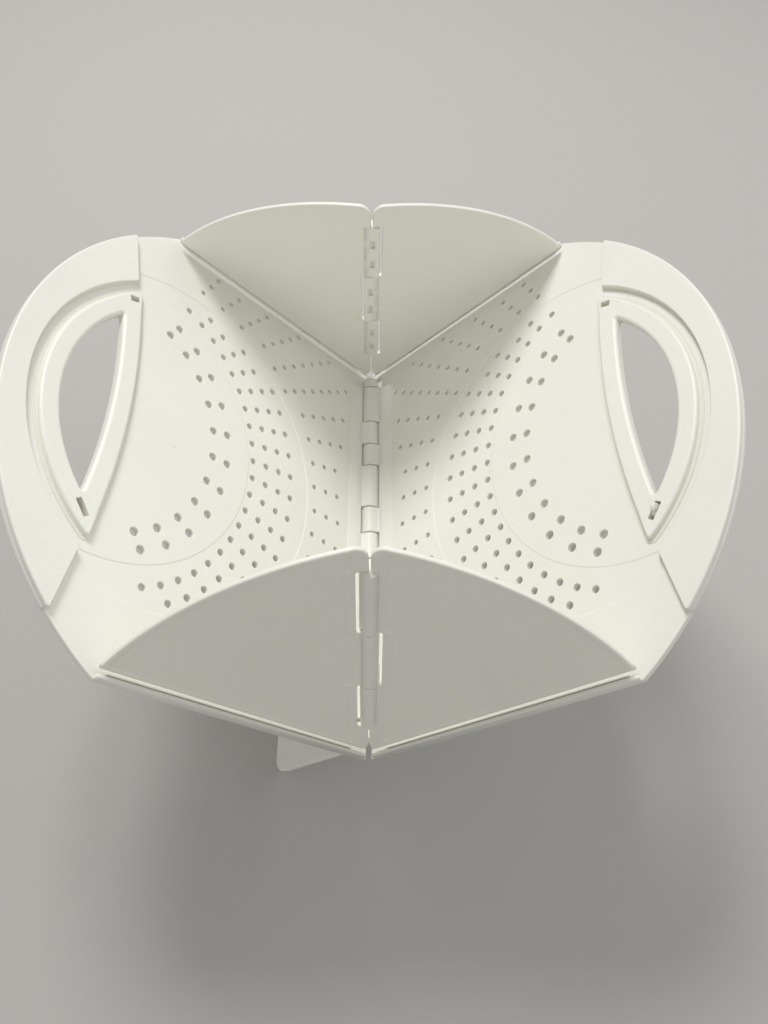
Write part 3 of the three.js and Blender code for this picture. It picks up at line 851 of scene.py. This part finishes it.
def plastic(name, colour, roughness, shade_and_speck, translucency):
    """Satin polypropylene: cloudy tone, a fine moulded grain, faint flow lines and painted shade that
    darkens recesses.
    """
    material = bpy.data.materials.new(name)
    material.use_nodes = True
    tree = material.node_tree
    nodes, links = tree.nodes, tree.links
    shader = nodes["Principled BSDF"]
    place = nodes.new("ShaderNodeTexCoord")

    cloud = nodes.new("ShaderNodeTexNoise")
    cloud.inputs["Scale"].default_value = 14
    cloud.inputs["Detail"].default_value = 4
    links.new(place.outputs["Object"], cloud.inputs["Vector"])
    tone = nodes.new("ShaderNodeValToRGB")
    tone.color_ramp.elements[0].position = 0.3
    tone.color_ramp.elements[0].color = (*[c * 0.965 for c in colour], 1)
    tone.color_ramp.elements[1].position = 0.7
    tone.color_ramp.elements[1].color = (*colour, 1)
    links.new(cloud.outputs["Fac"], tone.inputs["Fac"])

    speck = nodes.new("ShaderNodeTexNoise")
    speck.inputs["Scale"].default_value = 420
    speck.inputs["Detail"].default_value = 2
    links.new(place.outputs["Object"], speck.inputs["Vector"])
    dust = nodes.new("ShaderNodeMapRange")
    dust.inputs["From Min"].default_value = 0.73
    dust.inputs["From Max"].default_value = 0.78
    dust.inputs["To Max"].default_value = 0.35
    links.new(speck.outputs["Fac"], dust.inputs["Value"])
    # Dust specks, in a darker version of the painted shade colour.
    dusty = nodes.new("ShaderNodeMix")
    dusty.data_type = "RGBA"
    dusty.inputs["B"].default_value = (*[c * 0.8 for c in shade_and_speck], 1)
    links.new(dust.outputs["Result"], dusty.inputs["Factor"])
    links.new(tone.outputs["Color"], dusty.inputs["A"])

    # Painted shade: a per-vertex amount mixes in the yellow-grey shade colour, deepest down hole, slot and
    # channel walls.
    stain = nodes.new("ShaderNodeAttribute")
    stain.attribute_name = "stain"
    shade_mix = nodes.new("ShaderNodeMix")
    shade_mix.data_type = "RGBA"
    shade_mix.inputs["B"].default_value = (*shade_and_speck, 1)
    links.new(stain.outputs["Fac"], shade_mix.inputs["Factor"])
    links.new(dusty.outputs["Result"], shade_mix.inputs["A"])
    links.new(shade_mix.outputs["Result"], shader.inputs["Base Color"])

    gloss = nodes.new("ShaderNodeMapRange")
    gloss.inputs["To Min"].default_value = roughness - 0.06
    gloss.inputs["To Max"].default_value = roughness + 0.08
    links.new(cloud.outputs["Fac"], gloss.inputs["Value"])
    links.new(gloss.outputs["Result"], shader.inputs["Roughness"])

    grain = nodes.new("ShaderNodeTexNoise")
    grain.inputs["Scale"].default_value = 900
    grain.inputs["Detail"].default_value = 3
    links.new(place.outputs["Object"], grain.inputs["Vector"])
    flow = nodes.new("ShaderNodeTexNoise")
    flow.inputs["Scale"].default_value = 22
    flow.inputs["Detail"].default_value = 2
    links.new(place.outputs["Object"], flow.inputs["Vector"])
    fine = nodes.new("ShaderNodeBump")
    fine.inputs["Strength"].default_value = 0.12
    fine.inputs["Distance"].default_value = 0.00004
    links.new(grain.outputs["Fac"], fine.inputs["Height"])
    wavy = nodes.new("ShaderNodeBump")
    wavy.inputs["Strength"].default_value = 0.25
    wavy.inputs["Distance"].default_value = 0.0004
    links.new(flow.outputs["Fac"], wavy.inputs["Height"])
    links.new(fine.outputs["Normal"], wavy.inputs["Normal"])
    links.new(wavy.outputs["Normal"], shader.inputs["Normal"])

    shader.inputs["IOR"].default_value = 1.49
    shader.inputs["Subsurface Weight"].default_value = translucency
    shader.inputs["Subsurface Radius"].default_value = (1.0, 0.92, 0.75)
    shader.inputs["Subsurface Scale"].default_value = 0.002
    return material


def pin_metal():
    """Drawn steel wire: fine lines round the wire and uneven gloss."""
    material = bpy.data.materials.new("pin_wire")
    material.use_nodes = True
    nodes, links = material.node_tree.nodes, material.node_tree.links
    shader = nodes["Principled BSDF"]
    place = nodes.new("ShaderNodeTexCoord")
    drawn = nodes.new("ShaderNodeTexNoise")
    drawn.inputs["Scale"].default_value = 650
    links.new(place.outputs["Object"], drawn.inputs["Vector"])
    tone = nodes.new("ShaderNodeValToRGB")
    tone.color_ramp.elements[0].color = (0.42, 0.42, 0.44, 1)
    tone.color_ramp.elements[1].color = (0.66, 0.66, 0.67, 1)
    links.new(drawn.outputs["Fac"], tone.inputs["Fac"])
    links.new(tone.outputs["Color"], shader.inputs["Base Color"])
    gloss = nodes.new("ShaderNodeMapRange")
    gloss.inputs["To Min"].default_value = 0.25
    gloss.inputs["To Max"].default_value = 0.5
    links.new(drawn.outputs["Fac"], gloss.inputs["Value"])
    links.new(gloss.outputs["Result"], shader.inputs["Roughness"])
    shader.inputs["Metallic"].default_value = 1
    return material


# Yellow-grey of the painted shade in recesses. Dust specks use a darker version of it.
RECESS_SHADE_AND_SPECK = (0.62, 0.60, 0.44)
SHELL_PLASTIC = plastic("shell_polypropylene", (0.86, 0.86, 0.80), 0.42, RECESS_SHADE_AND_SPECK, 0.12)
GUSSET_PLASTIC = plastic("gusset_polypropylene", (0.85, 0.845, 0.78), 0.46, RECESS_SHADE_AND_SPECK, 0.12)
WEB_PLASTIC = plastic("web_polypropylene", (0.88, 0.875, 0.81), 0.36, RECESS_SHADE_AND_SPECK, 0.2)
PIN_METAL = pin_metal()

# ---- assembly ------------------------------------------------------------------------------------


ENDS = {"left": {-1: "front", 1: "rear"}, "right": {-1: "rear", 1: "front"}}


def build_shell(side):
    """A shell's moulding, its leaf of the keel hinge and its foot."""
    place = shell_frame(side)
    across = place @ SECTION
    body = f"{side}_shell"
    slots = sorted(ENDS[side].items(), key=lambda item: item[1])
    make_piece(
        f"{side}_shell_moulding",
        [(part, place) for part in (strainer_plate(slots), rim(), grip_ring(slots), lip(-1), lip(1))],
        SHELL_PLASTIC, body, [f"{side}_strainer_panel", f"{side}_handle"],
    )
    fingers = [
        finger(span[0] + FINGER_GAP, span[1] - FINGER_GAP, with_foot=span in FOOT_FINGERS)
        for span in FINGERS
    ]
    make_piece(
        f"{side}_keel_hinge", [(part, across) for part in (leaf_band(), end_cap(), *fingers)],
        SHELL_PLASTIC, body, [f"{side}_hinge_leaf"],
    )
    make_piece(
        f"{side}_foot_plate", [(foot_plate(), place)],
        SHELL_PLASTIC, body, [f"{side}_foot"],
    )


def build_gusset(side, end, end_name):
    """A gusset with its knuckles: two at the end where u is positive, and one at the other."""
    own = CREASE_SPANS[::2] if end > 0 else CREASE_SPANS[1:2]
    place = gusset_frame(side, end)
    solids = [(gusset_solid(end, own), place)]
    for span in own:
        solids += [(knuckle, place @ crease_frame(end)) for knuckle in knuckle_solids(span)]
    name = f"{end_name}_{side}_gusset"
    make_piece(f"{name}_panel", solids, GUSSET_PLASTIC, name, [name])


for side_name, names in ENDS.items():
    build_shell(side_name)
    for end_sign, end_name in names.items():
        build_gusset(side_name, end_sign, end_name)

hook_place = shell_frame("right") @ hook_frame()
make_piece(
    "latch_hook_visual", [(part, hook_place) for part in latch_hook()],
    SHELL_PLASTIC, "right_shell", ["latch_hook"],
)

for node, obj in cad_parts.items():
    if not obj.hide_render:
        obj.data.materials.clear()
        obj.data.materials.append(PIN_METAL if "pin" in node else WEB_PLASTIC)

# ---- stage ---------------------------------------------------------------------------------------


def make_stage():
    """A plain pale floor under the basket."""
    mesh = bpy.data.meshes.new("floor")
    reach, below_feet = 12, 0.0003
    corners = [(x * reach, y * reach, 0) for x, y in ((-1, -1), (1, -1), (1, 1), (-1, 1))]
    mesh.from_pydata(corners, [], [(0, 1, 2, 3)])
    floor = bpy.data.objects.new("floor", mesh)
    bpy.context.scene.collection.objects.link(floor)
    floor.location.z = -below_feet
    material = bpy.data.materials.new("floor_paint")
    material.use_nodes = True
    shader = material.node_tree.nodes["Principled BSDF"]
    shader.inputs["Base Color"].default_value = (0.47, 0.46, 0.445, 1)
    shader.inputs["Roughness"].default_value = 0.7
    mesh.materials.append(material)


def area_light(name, place, target, size, power, colour=(1, 1, 1)):
    """A round soft lamp at a place, aimed at a target."""
    light = bpy.data.lights.new(name, "AREA")
    light.shape = "DISK"
    light.size = size
    light.energy = power
    light.color = colour
    lamp = bpy.data.objects.new(name, light)
    lamp.location = place
    lamp.rotation_euler = (Vector(target) - Vector(place)).to_track_quat("-Z", "Y").to_euler()
    bpy.context.scene.collection.objects.link(lamp)


def light_scene():
    """A key light from behind and above, a weak side and front fill, and an even pale room."""
    area_light("key", (-0.25, 0.75, 1.35), (0, 0.05, 0.08), 0.5, 13.5, (1, 0.985, 0.965))
    area_light("side", (1.1, 0.35, 0.9), (0, 0, 0.1), 0.8, 3.0, (0.98, 0.99, 1))
    area_light("fill", (0.1, -1.2, 1.1), (0, 0, 0.1), 1.4, 2.6)
    world = bpy.data.worlds.new("room")
    bpy.context.scene.world = world
    world.use_nodes = True
    world.node_tree.nodes["Background"].inputs["Color"].default_value = (1, 0.99, 0.97, 1)
    world.node_tree.nodes["Background"].inputs["Strength"].default_value = 0.42


def make_camera():
    """The viewing angle: from the front, high, close to the basket."""
    camera = bpy.data.objects.new("camera", bpy.data.cameras.new("camera"))
    camera.data.sensor_width = 36
    camera.data.lens = 28.81
    camera.location = (-0.0001, -0.24385, 0.4674)
    camera.rotation_euler = (0.5681, -0.01767, -0.00419)
    bpy.context.scene.collection.objects.link(camera)
    bpy.context.scene.camera = camera


make_stage()
light_scene()
make_camera()
bpy.context.scene.view_settings.view_transform = "Standard"
